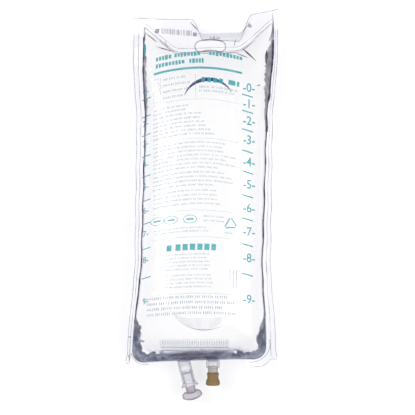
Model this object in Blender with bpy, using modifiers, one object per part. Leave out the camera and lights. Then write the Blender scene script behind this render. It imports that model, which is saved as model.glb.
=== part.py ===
# A one litre infusion bag lying on its back: a folded film pouch with its solution,
# a port plate in the fold, a capped outlet port and an injection port.
# Metres, +Z up, +Y towards the header, table at Z = 0.

import math

import bmesh
import bpy
from mathutils import Matrix, Vector

# Film and welds
FILM = 0.0003                # one layer of film
SEAL = 0.0006                # two layers welded flat
SEAL_WIDTH = 0.0062          # weld band outside each long side
GAP = 0.0003                 # space between pieces that touch

# Pouch, seen from above
NOSE_Y = -0.1439             # inner face of the fold, in the middle
POUCH_LENGTH = 0.284         # fold to the middle of the header weld
POUCH_HALF_MID = 0.0563      # half width where the pouch is fullest
POUCH_HALF_FOLD = 0.0622     # half width by the fold
POUCH_HALF_HEAD = 0.0604     # half width by the header
WAIST_START = 0.010          # the pouch narrows from here, measured from the fold
WAIST_END = 0.095            # to here
HEAD_FLARE = 0.070           # and widens again over this length by the header
CORNER_RADIUS = 0.0125       # round corners by the fold
FOLD_BOW = 0.0022            # the corners reach this much further than the fold's middle
BOWL_HALF = 0.030            # straight middle of the header weld
BOWL_SLOPE = 0.88            # rise of the header weld on each side of it
BOWL_SOFTNESS = 0.006        # rounding between the two
POUCH_LEAN = 0.030           # the bag lies slightly skewed: X of the pouch moved per metre of Y
SHEET_LEAN = 0.013           # and X of the flat film round it
SKEW = 0.20                  # and Y moved per square metre of X times Y
SIDE_SHIFT = 0.0014          # sets the middle of the whole bag's width at X = 0

# Pouch, seen from the side
CREST_HEIGHT = 0.0455        # highest point of the filled pouch
SEAM_MID = 0.0195            # height of the side welds half way along
SEAM_END = 0.0172            # height of the fold and of the header weld
SEAM_CORNER_DROP = 0.0050    # the corners sag by this much more
BACK_SAG = 0.0450            # how far the back would hang without the table
TABLE_ROUNDING = 0.0030      # softness of the edge of the flat resting patch
CROSS_POWER = 2.4            # fullness of the cross section
END_POWER = 2.4              # and of the two ends, seen from the side
FOLD_RUN = 0.056             # length over which the front swells to full height by the fold
HEAD_RUN = 0.112             # and by the header
BACK_FOLD_RUN = 0.100        # length over which the back comes down to the table by the fold
BACK_HEAD_RUN = 0.216        # and by the header
ROUND_NOSE = 2.0             # bluntness of an end that is round
WEDGE = 1.0                  # and of one that is a wedge
LIQUID_LEVEL = 0.0396        # the air above this height is the long bubble

# Folds in the film
PUCKER_PITCH = 0.034         # waves along the side welds
PUCKER_HEIGHT = 0.0004
PUCKER_SWAY = 0.0003         # the same waves, sideways
PUCKER_TURN = 0.7            # the waves on the left and right are this far out of step
GATHER_PITCH = 0.017         # gathers that run in from the two ends
GATHER_DEPTH = 0.0011
GATHER_REACH = 0.022

# Header and corner tails
HEADER_HEIGHT = 0.0350       # middle of the header weld to the cut edge, at its ends
HEADER_SINK = 0.0040         # the cut edge lies this much lower in the middle
HEADER_RISE = 0.0032         # and this much higher at its right end
CURL_START = 0.0112          # the header curls back this far above its weld
CURL_RADIUS = 0.0064
CURL_LEFT = -0.0080          # middle of the curl's left end
CURL_RIGHT = 0.0370          # middle of the curl's right end
CURL_FADE = 0.0070           # half the run over which an end fades out
SLOT_LENGTH = 0.0280         # hanger slot
SLOT_WIDTH = 0.0096
SLOT_X = 0.0043
SLOT_ABOVE_WELD = 0.0066     # header weld to the middle of the slot
SLOT_BEND_RADIUS = 0.0300    # the slot is a bent bean, ends towards the pouch
APRON_LEFT = 0.0004          # flat film left round the pouch's corners
APRON_RIGHT = 0.0055
APRON_START = 0.0340         # it comes out of the fold over this part of the width
APRON_END = 0.0480
TAIL_DROP = 0.0013           # the side welds end in tails that reach this far past the fold
TAIL_STEP = 0.0025           # a tail's inner edge takes this much of the width
TAIL_FLARE = 0.0016          # tails spread this far past the side welds

# Port plate, bent round the inside of the fold
PLATE_LEFT = -0.0347         # plate ends, either side of the pouch's own middle
PLATE_RIGHT = 0.0271
PLATE_DEPTH = 0.0212
PLATE_THICKNESS = 0.0012
SPIGOT_REACH = 0.0050        # plate spigots reach this far into the port tubes
SPIGOT_WALL = 0.0010

# Outlet port, distances along its axis from the fold
OUTLET_X = -0.0139
OUTLET_SWING = 14.0          # degrees towards +X
OUTLET_DROOP = 5.0           # degrees towards the table
OUTLET_TUBE_DIAMETER = 0.0117
OUTLET_TUBE_WALL = 0.0011
OUTLET_TUBE_LENGTH = 0.0203
SLEEVE_LENGTH = 0.0110       # part of the fitting inside the tube
SLEEVE_WALL = 0.0007
SKIRT_DIAMETER = 0.0160      # umbrella shaped finger skirt
SKIRT_THICKNESS = 0.0008
SKIRT_FALL = 0.0034
SKIRT_SHOULDER = 0.0067      # radius at which the skirt turns down
COLLAR_DIAMETER = 0.0098
COLLAR_LENGTH = 0.0036
MEMBRANE_THICKNESS = 0.0006
MEMBRANE_INSET = 0.0020      # from the inner end of the sleeve
CAP_NECK_DIAMETER = 0.0090
CAP_NECK_LENGTH = 0.0044
CAP_DIAMETER = 0.0184
CAP_FLARE = 0.0036           # length of the flared back
CAP_RIM = 0.0016             # height of the straight rim
CAP_DOME = 0.0030            # rise of the domed end

# Injection port, straight out of the fold
INJECTION_X = 0.0130
INJECTION_DROOP = 3.0
INJECTION_TUBE_DIAMETER = 0.0122
INJECTION_TUBE_WALL = 0.0013
INJECTION_TUBE_LENGTH = 0.0072
INJECTION_END_RADIUS = 0.0012
NECK_DIAMETER = 0.0092
NECK_LENGTH = 0.0036         # visible neck between tube and stopper
NECK_BORE = 0.0056
STOPPER_LENGTH = 0.0118
STOPPER_HEAD = 0.0112        # diameters down the stopper
STOPPER_WAIST = 0.0101
STOPPER_WAIST_DEPTH = 0.0042 # from its inner end to the waist
STOPPER_FOOT_HEIGHT = 0.0026 # height of the straight foot
STOPPER_FOOT = 0.0131
STOPPER_ROUND = 0.0012
PLUG_LENGTH = 0.0050         # stopper plug inside the neck

# Mesh fineness
POUCH_COLUMNS = 18
POUCH_ROWS = 26
POUCH_CROWDING = 0.8         # how far the rows crowd towards the two ends, 0 is even
SHEET_COLUMNS = 26
SHEET_CROWDING = 0.7         # and the flat film's columns towards its sides
SHEET_BANDS = ((0.12, 6), (0.37, 3), (0.79, 5), (0.89, 3), (1.0, 10))  # shares of its length, rows in each
TURN_STEPS = 22
BORE_STEPS = 16

BAG_NAME = "iv_fluid_bag"


# Scene set-up

def clear_scene():
    for item in list(bpy.data.objects):
        bpy.data.objects.remove(item, do_unlink=True)


def new_collection(name):
    made = bpy.data.collections.new(name)
    bpy.context.scene.collection.children.link(made)
    return made


def material(name, colour, roughness, metallic=0.0, alpha=1.0):
    made = bpy.data.materials.new(name)
    made.use_nodes = True
    shader = made.node_tree.nodes["Principled BSDF"]
    shader.inputs["Base Color"].default_value = (*colour, 1.0)
    shader.inputs["Roughness"].default_value = roughness
    shader.inputs["Metallic"].default_value = metallic
    shader.inputs["Alpha"].default_value = alpha
    return made


def add_object(name, mesh, group, finish=None, place=None):
    made = bpy.data.objects.new(name, mesh)
    group.objects.link(made)
    if finish is not None:
        made.data.materials.append(finish)
    if place is not None:
        made.matrix_world = place
    return made


def mark_cutter(item):
    item.hide_render = True
    item.display_type = "WIRE"
    return item


def boolean(target, other, operation):
    step = target.modifiers.new(operation.lower(), "BOOLEAN")
    step.operation = operation
    step.solver = "EXACT"
    step.object = other


# Formulas for the filled pouch

def soft_step(start, end, value):
    share = min(max((value - start) / (end - start), 0.0), 1.0)
    return share * share * (3.0 - 2.0 * share)


def soft_floor(value, rounding):
    # zero below, the value itself above, a parabola between
    if value <= -rounding:
        return 0.0
    if value >= rounding:
        return value
    return (value + rounding) ** 2 / (4.0 * rounding)


def swell(distance, run, bluntness):
    # from 0 at an end of the pouch to 1 at the run's length
    left = min(max(0.0, 1.0 - distance / run), 1.0)
    return (1.0 - left ** END_POWER) ** (1.0 / bluntness)


def half_width(y):
    from_fold = y - NOSE_Y
    from_weld = NOSE_Y + POUCH_LENGTH - y
    near_fold = 1.0 - soft_step(WAIST_START, WAIST_END, from_fold)
    near_head = 1.0 - soft_step(0.0, HEAD_FLARE, from_weld)
    wave = PUCKER_SWAY * math.cos(math.tau * y / PUCKER_PITCH)
    return (POUCH_HALF_MID + (POUCH_HALF_FOLD - POUCH_HALF_MID) * near_fold
            + (POUCH_HALF_HEAD - POUCH_HALF_MID) * near_head
            + wave * (1.0 - near_fold) * (1.0 - near_head))


def fold_line(across, inset):
    # inner edge of the pouch by the fold, with its round corners
    reach = POUCH_HALF_FOLD - inset
    radius = CORNER_RADIUS - inset
    past = max(0.0, abs(across) * reach - (reach - radius))
    nose = NOSE_Y - FOLD_BOW * across ** 4 + inset
    return nose + radius - math.sqrt(max(radius * radius - past * past, 0.0))


def weld_line(x, inset=0.0):
    # bowl shaped header weld
    rise = BOWL_SLOPE * soft_floor(abs(x) - BOWL_HALF, BOWL_SOFTNESS)
    return NOSE_Y + POUCH_LENGTH - inset + rise


def seam_height(x, y):
    # height of the surface in which the two films are welded together
    along = min(abs(y / NOSE_Y), 1.1)
    side = min(abs(x) / POUCH_HALF_FOLD, 1.1)
    sag = SEAM_CORNER_DROP * side * side * along ** 3
    turn = math.copysign(PUCKER_TURN, x)
    pucker = PUCKER_HEIGHT * math.sin(math.tau * y / PUCKER_PITCH + turn)
    return SEAM_MID + (SEAM_END - SEAM_MID) * along ** 3 - sag + pucker * side ** 4


def laid_down(x, y, z, lean):
    # the slight skew in which the bag lies on the table
    return Vector((x + SIDE_SHIFT + lean * y, y + SKEW * x * abs(y), z))


def pouch_point(across, along, front, inset):
    # across and along run from -1 to 1, inset is measured inwards from the film's inside
    low = fold_line(across, inset)
    high = weld_line(across * (POUCH_HALF_HEAD - inset), inset)
    crowded = POUCH_CROWDING * spaced(along) + (1.0 - POUCH_CROWDING) * along
    y = low + (high - low) * (0.5 + crowded / 2.0)
    x = across * (half_width(y) - inset)
    fullness = math.sqrt(max(0.0, 1.0 - abs(across) ** CROSS_POWER))
    seam = seam_height(x, y)
    if front:
        fullness *= swell(y - low, FOLD_RUN, ROUND_NOSE) * swell(high - y, HEAD_RUN, WEDGE)
        near_end = math.exp(-min(y - low, high - y) / GATHER_REACH)
        gather = 0.5 - 0.5 * math.cos(math.tau * x / GATHER_PITCH)
        crest = CREST_HEIGHT - FILM - inset
        z = seam + (crest - SEAM_MID - GATHER_DEPTH * gather * near_end) * fullness
    else:
        fullness *= swell(y - low, BACK_FOLD_RUN, WEDGE) * swell(high - y, BACK_HEAD_RUN, WEDGE)
        floor = FILM + inset
        hang = seam - floor - (BACK_SAG - inset) * fullness
        z = floor + soft_floor(hang, TABLE_ROUNDING) if fullness > 0.0 else seam
    return laid_down(x, y, z, POUCH_LEAN)


def spaced(value):
    # grid lines crowd towards both ends
    return math.sin(value * math.pi / 2.0)


def split_corners(vertices):
    # front and back may not share a diagonal, so each corner face is split from its corner
    for corner in [vertex for vertex in vertices if len(vertex.link_faces) == 1]:
        face = corner.link_faces[0]
        beside = {edge.other_vert(corner) for edge in corner.link_edges}
        facing = [vertex for vertex in face.verts if vertex is not corner and vertex not in beside]
        bmesh.utils.face_split(face, corner, facing[0])


def pouch_mesh(name, inset):
    # two grids, front and back, that share their rim
    shape = bmesh.new()
    for front in (True, False):
        grid = bmesh.ops.create_grid(shape, x_segments=POUCH_COLUMNS, y_segments=POUCH_ROWS, size=1.0)
        split_corners(grid["verts"])
        for vertex in grid["verts"]:
            vertex.co = pouch_point(spaced(vertex.co.x), vertex.co.y, front, inset)
        if not front:
            faces = {face for vertex in grid["verts"] for face in vertex.link_faces}
            bmesh.ops.reverse_faces(shape, faces=list(faces))
    bmesh.ops.remove_doubles(shape, verts=shape.verts, dist=1e-6)
    bmesh.ops.triangulate(shape, faces=shape.faces)
    return finished_mesh(name, shape)


def finished_mesh(name, shape):
    mesh = bpy.data.meshes.new(name)
    shape.to_mesh(mesh)
    shape.free()
    mesh.shade_smooth()
    mesh.set_sharp_from_angle(angle=math.radians(40.0))
    return mesh


# Formulas for the flat film outside the pouch

def sheet_half(y):
    near_fold = 1.0 - soft_step(0.0, WAIST_START, y - NOSE_Y)
    return half_width(y) + SEAL_WIDTH + TAIL_FLARE * near_fold


def sheet_bottom(x):
    # hidden in the fold's middle, then round the pouch's corner, then past the fold at the tail
    off = x - (POUCH_LEAN - SHEET_LEAN) * NOSE_Y
    apron = APRON_RIGHT if off > 0.0 else APRON_LEFT
    turned_in = max(0.0, abs(off) - (POUCH_HALF_FOLD + apron - CORNER_RADIUS))
    rise = CORNER_RADIUS - math.sqrt(max(CORNER_RADIUS ** 2 - turned_in ** 2, 0.0))
    edge = NOSE_Y - FOLD_BOW - apron + rise
    tail = min(edge, NOSE_Y - TAIL_DROP)
    edge += (tail - edge) * soft_step(POUCH_HALF_FOLD, POUCH_HALF_FOLD + TAIL_STEP, abs(off))
    hidden = NOSE_Y + 4.0 * SEAL
    return hidden + (edge - hidden) * soft_step(APRON_START, APRON_END, abs(off))


def sheet_top(across):
    sunk = HEADER_SINK * (1.0 - across * across)
    raised = HEADER_RISE * max(0.0, across) ** 2
    return NOSE_Y + POUCH_LENGTH + HEADER_HEIGHT - sunk + raised


def curl_share(x):
    left = soft_step(CURL_LEFT - CURL_FADE, CURL_LEFT + CURL_FADE, x)
    right = 1.0 - soft_step(CURL_RIGHT - CURL_FADE, CURL_RIGHT + CURL_FADE, x)
    return left * right


def curled(x, y, z):
    # past its start line the header follows a circle, wider where the curl fades out
    start = NOSE_Y + POUCH_LENGTH + CURL_START
    past = y - start
    bend = curl_share(x) / CURL_RADIUS
    if past <= 0.0 or bend * past < 1e-4:
        return y, z
    floor = 2.0 * SEAL
    height = z - floor - (1.0 - math.cos(bend * past)) / bend
    return start + math.sin(bend * past) / bend, floor + soft_floor(height, TABLE_ROUNDING)


def sheet_point(across, share):
    # share runs from 0 at the fold to 1 at the cut edge of the header
    bottom = sheet_bottom(across * (POUCH_HALF_FOLD + SEAL_WIDTH + TAIL_FLARE))
    y = bottom + (sheet_top(across) - bottom) * share
    x = across * sheet_half(min(y, NOSE_Y + POUCH_LENGTH))
    y_curled, z = curled(x, y, seam_height(x, y))
    return laid_down(x, y_curled, z, SHEET_LEAN)


def sheet_rows():
    # close rows over the tails and the header, wide ones between
    rows = [0.0]
    for end, count in SHEET_BANDS:
        start = rows[-1]
        rows += [start + (end - start) * step / count for step in range(1, count + 1)]
    return rows


def sheet_object(group):
    shares = sheet_rows()
    shape = bmesh.new()
    last = len(shares) - 1
    grid = bmesh.ops.create_grid(shape, x_segments=SHEET_COLUMNS, y_segments=last, size=1.0)
    for vertex in grid["verts"]:
        row = round((vertex.co.y + 1.0) / 2.0 * last)
        across = (1.0 - SHEET_CROWDING) * vertex.co.x + SHEET_CROWDING * spaced(vertex.co.x)
        vertex.co = sheet_point(across, shares[row])
    sheet = add_object("film_sheet", finished_mesh("film_sheet", shape), group)
    wall = sheet.modifiers.new("seal", "SOLIDIFY")
    wall.thickness = SEAL
    wall.offset = 0.0
    return mark_cutter(sheet)


def slot_cutter(group):
    # a bean: a band with round ends bent along an arc, extruded through the header
    middle = Vector((SLOT_X, NOSE_Y + POUCH_LENGTH + SLOT_ABOVE_WELD))
    half = SLOT_WIDTH / 2.0
    swing = (SLOT_LENGTH / 2.0 - half) / SLOT_BEND_RADIUS
    centre = middle - Vector((0.0, SLOT_BEND_RADIUS))
    steps = 8
    points = []
    for side, reach in ((1, SLOT_BEND_RADIUS + half), (-1, SLOT_BEND_RADIUS - half)):
        for step in range(steps + 1):
            angle = side * swing * (1.0 - 2.0 * step / steps)
            points.append(centre + reach * Vector((math.sin(angle), math.cos(angle))))
        end = -side * swing
        hub = centre + SLOT_BEND_RADIUS * Vector((math.sin(end), math.cos(end)))
        for step in range(1, steps):
            turn = end + (0.0 if side > 0 else math.pi) - math.pi * step / steps
            points.append(hub + half * Vector((math.sin(turn), math.cos(turn))))
    outline = bpy.data.curves.new("hanger_slot", "CURVE")
    outline.dimensions = "2D"
    outline.fill_mode = "BOTH"
    outline.extrude = CURL_RADIUS
    path = outline.splines.new("POLY")
    path.points.add(len(points) - 1)
    for target, point in zip(path.points, points):
        target.co = (*point, 0.0, 1.0)
    path.use_cyclic_u = True
    drawn = add_object("hanger_slot_outline", outline, group)
    drawn.location = laid_down(*middle, seam_height(*middle), SHEET_LEAN) - Vector((*middle, 0.0))
    bpy.context.view_layer.update()
    seen = drawn.evaluated_get(bpy.context.evaluated_depsgraph_get())
    mesh = bpy.data.meshes.new_from_object(seen)
    shape = bmesh.new()
    shape.from_mesh(mesh)
    bmesh.ops.remove_doubles(shape, verts=shape.verts, dist=1e-6)
    shape.to_mesh(mesh)
    shape.free()
    cutter = add_object("hanger_slot", mesh, group, place=drawn.matrix_world.copy())
    bpy.data.objects.remove(drawn, do_unlink=True)
    return mark_cutter(cutter)


# Turned pieces

def port_frame(x, swing, droop):
    # local Z runs outwards along the port, from the fold
    root = pouch_point(x / POUCH_HALF_FOLD, -1.0, True, 0.0)
    side = math.radians(swing)
    down = math.radians(droop)
    axis = Vector((math.sin(side) * math.cos(down), -math.cos(side) * math.cos(down), -math.sin(down)))
    return Matrix.Translation(root) @ axis.to_track_quat("Z", "Y").to_matrix().to_4x4()


def turned(name, profile, place, group, finish=None, steps=TURN_STEPS):
    # the profile lists radius and distance; it runs down the outside, then up the inside
    closed = profile[0][0] > 0.0
    mesh = bpy.data.meshes.new(name)
    points = [(radius, 0.0, distance) for radius, distance in profile]
    edges = [(index, index + 1) for index in range(len(points) - 1)]
    if closed:
        edges.append((len(points) - 1, 0))
    mesh.from_pydata(points, edges, [])
    made = add_object(name, mesh, group, finish, place)
    screw = made.modifiers.new("turn", "SCREW")
    screw.axis = "Z"
    screw.angle = math.tau
    screw.steps = steps
    screw.render_steps = steps
    screw.use_merge_vertices = True
    screw.merge_threshold = 1e-6
    screw.use_smooth_shade = True
    return made


def rod(name, radius, low, high, place, group):
    profile = [(0.0, high), (radius, high), (radius, low), (0.0, low)]
    return mark_cutter(turned(name, profile, place, group))


def ring(outer, inner, low, high):
    return [(outer, high), (outer, low), (inner, low), (inner, high)]


def arc(centre_radius, centre_distance, radius, start, end, count):
    # points of an arc, angles in degrees from +X of the profile
    points = []
    for step in range(count + 1):
        angle = math.radians(start + (end - start) * step / count)
        points.append((centre_radius + radius * math.cos(angle), centre_distance + radius * math.sin(angle)))
    return points


def box_between(name, low, high, group):
    mesh = bpy.data.meshes.new(name)
    shape = bmesh.new()
    bmesh.ops.create_cube(shape, size=1.0)
    for vertex in shape.verts:
        vertex.co = [start + (end - start) * (share + 0.5)
                     for start, end, share in zip(low, high, vertex.co)]
    shape.to_mesh(mesh)
    shape.free()
    return mark_cutter(add_object(name, mesh, group))


# Sub-parts

def outlet_radii():
    tube_outer = OUTLET_TUBE_DIAMETER / 2.0
    tube_inner = tube_outer - OUTLET_TUBE_WALL
    return tube_outer, tube_inner, tube_inner - GAP


def injection_radii():
    tube_outer = INJECTION_TUBE_DIAMETER / 2.0
    tube_inner = tube_outer - INJECTION_TUBE_WALL
    return tube_outer, tube_inner, tube_inner - GAP


def make_film_bag(parts, cutters, cavity, outlet, injection):
    finish = material("clear_film", (0.90, 0.91, 0.95), 0.12, alpha=0.35)
    bag = add_object("film_bag", pouch_mesh("film_bag", -FILM), parts, finish)
    boolean(bag, sheet_object(cutters), "UNION")
    boolean(bag, cavity, "DIFFERENCE")
    for name, place, radii in (("outlet_hole", outlet, outlet_radii()),
                               ("injection_hole", injection, injection_radii())):
        depth = radii[0] * 1.2
        boolean(bag, rod(name, radii[0] + GAP, -depth, depth, place, cutters), "DIFFERENCE")
    boolean(bag, slot_cutter(cutters), "DIFFERENCE")


def make_solution(parts, cutters):
    finish = material("solution", (0.86, 0.90, 0.96), 0.05, alpha=0.35)
    inset = FILM + GAP / 3.0
    solution = add_object("solution", pouch_mesh("solution", inset), parts, finish)
    reach = POUCH_LENGTH
    air = box_between("air_space", (-reach, -reach, LIQUID_LEVEL), (reach, reach, reach), cutters)
    boolean(solution, air, "DIFFERENCE")
    room = plate_room("plate_room", GAP, cutters)
    inside = add_object("plate_inside", pouch_mesh("plate_inside", 2.0 * GAP + PLATE_THICKNESS), cutters)
    boolean(room, mark_cutter(inside), "DIFFERENCE")
    boolean(solution, room, "DIFFERENCE")


def plate_room(name, clearance, cutters):
    shift = laid_down(0.0, NOSE_Y, 0.0, POUCH_LEAN).x
    low = (PLATE_LEFT + shift - clearance, NOSE_Y - POUCH_LENGTH / 2.0, -CREST_HEIGHT)
    high = (PLATE_RIGHT + shift + clearance, NOSE_Y + PLATE_DEPTH + clearance, 2.0 * CREST_HEIGHT)
    return box_between(name, low, high, cutters)


def make_port_plate(parts, cutters, outlet, injection):
    # a strip of the pouch's own surface, bent round the fold, with two spigots
    finish = material("port_plate", (0.90, 0.90, 0.92), 0.30, alpha=0.55)
    plate = add_object("port_plate", pouch_mesh("port_plate", GAP), parts, finish)
    boolean(plate, plate_room("plate_outline", 0.0, cutters), "INTERSECT")
    ports = (("outlet", outlet, outlet_radii()[2]), ("injection", injection, injection_radii()[2]))
    root = -3.0 * PLATE_THICKNESS
    for name, place, outer in ports:
        spigot = rod(name + "_spigot", outer, root, SPIGOT_REACH, place, cutters)
        boolean(plate, spigot, "UNION")
    inside = mark_cutter(add_object("plate_hollow", pouch_mesh("plate_hollow", GAP + PLATE_THICKNESS), cutters))
    boolean(plate, inside, "DIFFERENCE")
    half_step = Matrix.Rotation(math.pi / TURN_STEPS, 4, "Z")
    for name, place, outer in ports:
        bore = rod(name + "_plate_bore", outer - SPIGOT_WALL, 2.0 * root, 2.0 * SPIGOT_REACH,
                   place @ half_step, cutters)
        boolean(plate, bore, "DIFFERENCE")


def make_outlet(parts, cavity, place):
    outer, inner, sleeve = outlet_radii()
    bore = sleeve - SLEEVE_WALL
    clear = material("clear_tube", (0.90, 0.90, 0.91), 0.15, alpha=0.45)
    tube = turned("outlet_tube", ring(outer, inner, -outer, OUTLET_TUBE_LENGTH), place, parts, clear)
    boolean(tube, cavity, "DIFFERENCE")

    collar = COLLAR_DIAMETER / 2.0
    skirt = SKIRT_DIAMETER / 2.0
    start = OUTLET_TUBE_LENGTH - SLEEVE_LENGTH
    seat = OUTLET_TUBE_LENGTH + GAP
    end = seat + COLLAR_LENGTH
    lip = seat + SKIRT_FALL
    profile = [(collar, end), (collar, seat + 2.0 * SKIRT_THICKNESS)]
    profile += [(skirt - SKIRT_THICKNESS / 2.0, lip), (skirt, lip - SKIRT_THICKNESS / 2.0)]
    profile += [(SKIRT_SHOULDER, seat + SKIRT_THICKNESS), (outer, seat), (sleeve, seat), (sleeve, start)]
    profile += [(bore, start), (bore, end)]
    turned("outlet_fitting", profile, place, parts, material("clear_fitting", (0.88, 0.88, 0.90), 0.12, alpha=0.5))

    disc = bore - GAP
    low = start + MEMBRANE_INSET
    profile = [(0.0, low + MEMBRANE_THICKNESS), (disc, low + MEMBRANE_THICKNESS), (disc, low), (0.0, low)]
    turned("outlet_membrane", profile, place, parts, material("membrane", (0.85, 0.86, 0.88), 0.3, alpha=0.6),
           steps=BORE_STEPS)
    return end + GAP, bore


def make_outlet_cap(parts, pull, start, bore):
    # the pull-off cap, modelled about its own axis and parented to the empty that pulls
    neck = CAP_NECK_DIAMETER / 2.0
    rim = CAP_DIAMETER / 2.0
    flare = start + CAP_NECK_LENGTH
    edge = flare + CAP_FLARE
    top = edge + CAP_RIM
    swell_radius = (rim * rim + CAP_DOME * CAP_DOME) / (2.0 * CAP_DOME)
    spread = math.degrees(math.asin(rim / swell_radius))
    dome = arc(0.0, top + CAP_DOME - swell_radius, swell_radius, 90.0, 90.0 - spread, 5)
    dome[0] = (0.0, dome[0][1])
    wall = CAP_FLARE / 2.0
    shoulder = arc(rim - CAP_FLARE, edge, CAP_FLARE, 0.0, -60.0, 4)
    profile = dome + shoulder + [(neck, flare), (neck, start), (bore, start), (bore, edge - wall), (0.0, edge - wall)]
    cap = turned("outlet_cap", profile, None, parts, material("clear_cap", (0.84, 0.84, 0.88), 0.12, alpha=0.55))
    cap.parent = pull


def make_injection(parts, cavity, place):
    outer, inner, insert = injection_radii()
    clear = material("clear_sleeve", (0.90, 0.90, 0.90), 0.18, alpha=0.5)
    end = INJECTION_TUBE_LENGTH
    rounding = INJECTION_END_RADIUS
    profile = arc(outer - rounding, end - rounding, rounding, 90.0, 0.0, 4)
    profile += [(outer, -outer), (inner, -outer), (inner, end)]
    tube = turned("injection_tube", profile, place, parts, clear)
    boolean(tube, cavity, "DIFFERENCE")

    neck = NECK_DIAMETER / 2.0
    hole = NECK_BORE / 2.0
    mouth = end + GAP + NECK_LENGTH
    root = SPIGOT_REACH + 2.0 * GAP
    profile = [(neck, mouth), (neck, end + GAP), (insert, end + GAP), (insert, root), (hole, root), (hole, mouth)]
    turned("injection_neck", profile, place, parts, material("neck_ring", (0.72, 0.71, 0.72), 0.3, alpha=0.8))

    seat = mouth + GAP
    foot = seat + STOPPER_LENGTH
    turned("injection_stopper", stopper_profile(seat, foot, hole - GAP), place, parts,
           material("tan_rubber", (0.25, 0.15, 0.05), 0.75))


def stopper_profile(seat, foot, plug):
    # flat faced foot, waist, rounded head, and the plug that sits in the neck
    edge = STOPPER_ROUND
    head = STOPPER_HEAD / 2.0
    waist = STOPPER_WAIST / 2.0
    base = STOPPER_FOOT / 2.0
    waist_at = seat + STOPPER_WAIST_DEPTH
    profile = [(0.0, foot)] + arc(base - edge, foot - edge, edge, 90.0, 0.0, 4)
    rise_from = foot - STOPPER_FOOT_HEIGHT
    rise_to = seat + edge
    for share in (0.25, 0.5, 0.75, 1.0):
        profile.append((base + (waist - base) * soft_step(0.0, 1.0, share),
                        rise_from + (waist_at - rise_from) * share))
    for share in (0.5, 1.0):
        profile.append((waist + (head - waist) * soft_step(0.0, 1.0, share),
                        waist_at + (rise_to - waist_at) * share))
    profile += arc(head - edge, seat + edge, edge, -30.0, -90.0, 3)
    profile += [(plug, seat), (plug, seat - PLUG_LENGTH), (0.0, seat - PLUG_LENGTH)]
    return profile


def main():
    clear_scene()
    parts = new_collection(BAG_NAME)
    cutters = new_collection("cutters")
    cavity = mark_cutter(add_object("cavity", pouch_mesh("cavity", 0.0), cutters))
    outlet = port_frame(OUTLET_X, OUTLET_SWING, OUTLET_DROOP)
    injection = port_frame(INJECTION_X, 0.0, INJECTION_DROOP)
    make_film_bag(parts, cutters, cavity, outlet, injection)
    make_solution(parts, cutters)
    make_port_plate(parts, cutters, outlet, injection)
    cap_start, bore = make_outlet(parts, cavity, outlet)
    pull = add_object("outlet_cap_pull", None, parts, place=outlet)
    make_outlet_cap(parts, pull, cap_start, bore)
    make_injection(parts, cavity, injection)


main()
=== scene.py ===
import bpy
import bmesh
import random
from functools import partial
from math import copysign, cos, exp, hypot, pi, radians, sin, sqrt, tau
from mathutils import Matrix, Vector
from mathutils.bvhtree import BVHTree


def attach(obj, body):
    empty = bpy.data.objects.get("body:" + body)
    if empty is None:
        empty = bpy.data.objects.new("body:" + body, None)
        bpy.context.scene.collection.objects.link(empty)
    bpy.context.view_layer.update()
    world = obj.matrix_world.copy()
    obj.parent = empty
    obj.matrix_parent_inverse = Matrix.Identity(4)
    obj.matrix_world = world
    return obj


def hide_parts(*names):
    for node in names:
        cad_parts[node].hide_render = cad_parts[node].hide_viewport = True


# A one litre infusion bag lying on its back, seen from straight above.
# Metres, table at z = 0, y towards the header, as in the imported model.

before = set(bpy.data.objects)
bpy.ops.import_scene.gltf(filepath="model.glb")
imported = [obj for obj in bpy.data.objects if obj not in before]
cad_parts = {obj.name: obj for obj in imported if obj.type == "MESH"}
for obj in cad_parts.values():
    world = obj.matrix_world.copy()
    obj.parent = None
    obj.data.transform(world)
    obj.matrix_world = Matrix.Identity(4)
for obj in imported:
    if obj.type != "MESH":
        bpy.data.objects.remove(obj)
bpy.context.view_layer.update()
print("frame loaded")


# helpers

def srgb(code):
    # hex colour as a painter writes it, turned to the linear values that nodes take
    parts = [int(code[i:i + 2], 16) / 255 for i in (1, 3, 5)]
    return tuple(c / 12.92 if c <= 0.04045 else ((c + 0.055) / 1.055) ** 2.4 for c in parts) + (1.0,)


def addNode(tree, kind, values=None):
    # adds one shader node and sets its options and sockets; a socket given as a value is linked instead,
    # and so is the first output of a given node
    node = tree.nodes.new('ShaderNode' + kind)
    for key, value in (values or {}).items():
        if isinstance(value, bpy.types.Node):
            value = value.outputs[0]
        if isinstance(value, bpy.types.NodeSocket):
            tree.links.new(value, node.inputs[key])
        elif isinstance(key, int) or key in node.inputs.keys():
            node.inputs[key].default_value = value
        else:
            setattr(node, key, value)
    return node


def newMaterial(name):
    # a material without nodes, and the function that adds nodes to it
    made = bpy.data.materials.new(name)
    made.use_nodes = True
    made.node_tree.nodes.clear()
    return made, partial(addNode, made.node_tree)


def surfaced(made, node):
    addNode(made.node_tree, 'OutputMaterial', {'Surface': node})
    return made


def setRamp(node, stops):
    ramp = node.color_ramp
    while len(ramp.elements) > 1:
        ramp.elements.remove(ramp.elements[0])
    ramp.elements[0].position = stops[0][0]
    ramp.elements[0].color = srgb(stops[0][1])
    for position, code in stops[1:]:
        ramp.elements.new(position).color = srgb(code)
    return node


def setFinish(item, finish):
    item.data.materials.clear()
    item.data.materials.append(finish)


def meshObject(name, points, faces):
    mesh = bpy.data.meshes.new(name)
    mesh.from_pydata(points, [], faces)
    mesh.update()
    made = bpy.data.objects.new(name, mesh)
    bpy.context.scene.collection.objects.link(made)
    return made


def only(item):
    # one object selected and active, as the operators expect
    bpy.ops.object.select_all(action='DESELECT')
    item.select_set(True)
    bpy.context.view_layer.objects.active = item


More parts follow.
